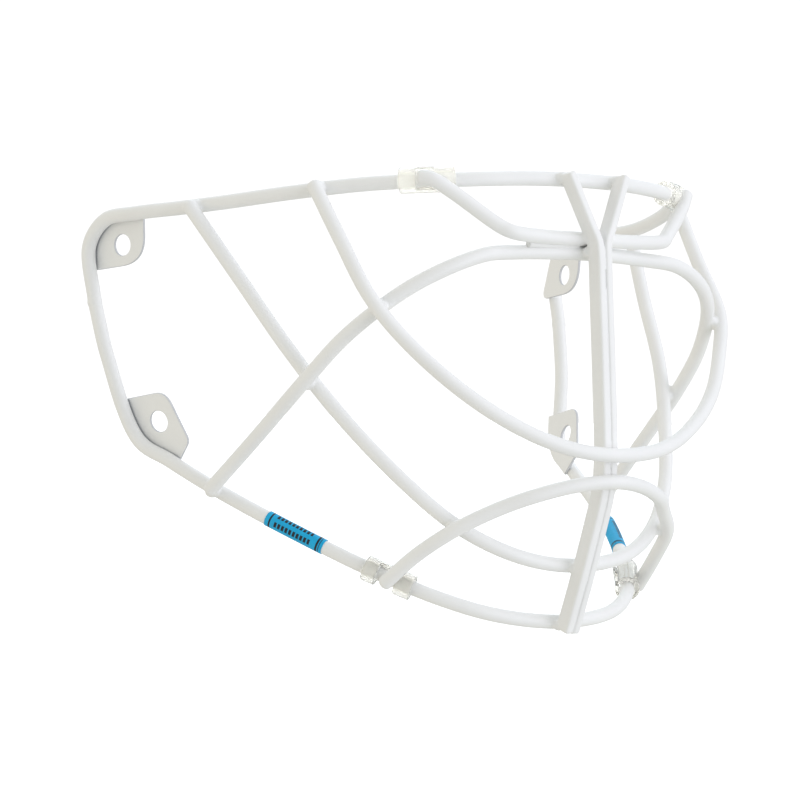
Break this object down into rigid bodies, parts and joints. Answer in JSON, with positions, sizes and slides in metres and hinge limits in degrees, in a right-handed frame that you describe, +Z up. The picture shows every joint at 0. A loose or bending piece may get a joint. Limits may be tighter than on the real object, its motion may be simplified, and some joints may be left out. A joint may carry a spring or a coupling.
{
  "type": "goalie mask cage",
  "caption": "Wire face cage of an ice hockey goalie mask: a bent rim with round bars welded across it, flat bars down the middle, screw plates and clear sleeves.",
  "frame": {"origin": "middle of the cage's bounding box, on its plane of symmetry", "axes": "+Z up as worn, -Y the way the face looks, +X to the right as seen from in front"},
  "size_m": [0.2326, 0.1698, 0.1649],
  "materials": {
    "coated_steel": "white powder coat over steel wire, satin, slightly uneven like orange peel",
    "clear_plastic": "clear glossy soft plastic tube",
    "blue_vinyl": "blue vinyl wrap with plain dark marks"
  },
  "bodies": {
    "root": {"upper_rim_wire": "coated_steel", "lower_rim_wire": "coated_steel", "cheek_bar": "coated_steel", "lower_eye_bar": "coated_steel", "brow_bar": "coated_steel", "upper_eye_bar": "coated_steel", "chin_bar": "coated_steel", "left_rim_weld": "coated_steel", "left_centre_bar": "coated_steel", "upper_left_plate": "coated_steel", "lower_left_plate": "coated_steel", "brow_left_sleeve": "clear_plastic", "chin_left_sleeve": "clear_plastic", "left_marking_band": "blue_vinyl", "right_rim_weld": "coated_steel", "right_centre_bar": "coated_steel", "upper_right_plate": "coated_steel", "lower_right_plate": "coated_steel", "brow_right_sleeve": "clear_plastic", "chin_right_sleeve": "clear_plastic", "right_marking_band": "blue_vinyl"}
  },
  "joints": []
}
